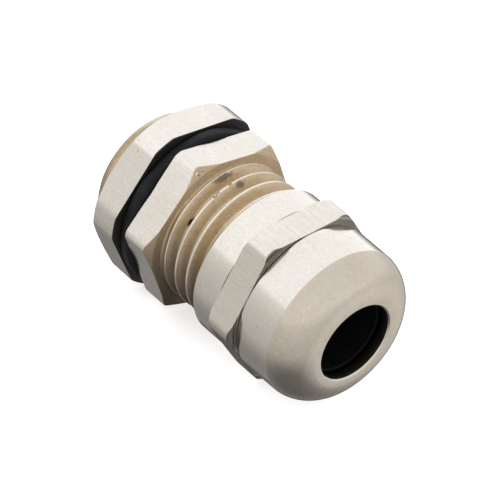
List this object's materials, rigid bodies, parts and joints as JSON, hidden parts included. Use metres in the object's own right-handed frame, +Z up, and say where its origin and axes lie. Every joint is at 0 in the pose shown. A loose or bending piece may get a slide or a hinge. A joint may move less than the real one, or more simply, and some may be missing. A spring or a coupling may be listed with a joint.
{
  "type": "cable gland",
  "caption": "Metal cable gland with a domed clamping nut, hexagonal body, threaded entry, rubber seal and locknut; it holds and seals a round cable through a panel.",
  "frame": {"origin": "on the surface the gland lies on, under the middle of its length", "axes": "+X along the cable axis from the entry thread to the dome, +Z up"},
  "size_m": [0.0258, 0.0162, 0.015],
  "materials": {
    "nickel_body": "satin nickel plating over turned brass",
    "nickel_locknut": "satin nickel plating over milled brass",
    "nickel_dome": "satin nickel plating over turned brass",
    "seal_rubber": "matt moulded rubber",
    "grommet_rubber": "matt moulded rubber",
    "claw_plastic": "moulded polyamide"
  },
  "bodies": {
    "gland_body": {"gland_body": "nickel_body"},
    "washer": {"sealing_washer": "seal_rubber"},
    "locknut": {"locknut": "nickel_locknut"},
    "insert": {"claw_insert": "claw_plastic", "sealing_grommet": "grommet_rubber"},
    "dome_nut": {"dome_nut": "nickel_dome"}
  },
  "joints": [
    {"name": "insert_slide", "type": "slide", "parent": "gland_body", "child": "insert", "axis": [1, 0, 0], "range_m": [-0.0044, 0.00215]},
    {"name": "dome_nut_turn", "type": "hinge", "parent": "insert", "child": "dome_nut", "pos_m": [0, 0, 0.0075], "axis": [1, 0, 0], "range_deg": [-1122, 548]},
    {"name": "washer_slide", "type": "slide", "parent": "gland_body", "child": "washer", "axis": [1, 0, 0], "range_m": [-0.0049, 0]},
    {"name": "locknut_turn", "type": "hinge", "parent": "washer", "child": "locknut", "pos_m": [0, 0, 0.0075], "axis": [1, 0, 0], "range_deg": [-1388, 0]}
  ],
  "couplings": [
    {"joint": "insert_slide", "follows": "dome_nut_turn", "m_per_rad": 0.00022459},
    {"joint": "washer_slide", "follows": "locknut_turn", "m_per_rad": 0.00020213}
  ]
}
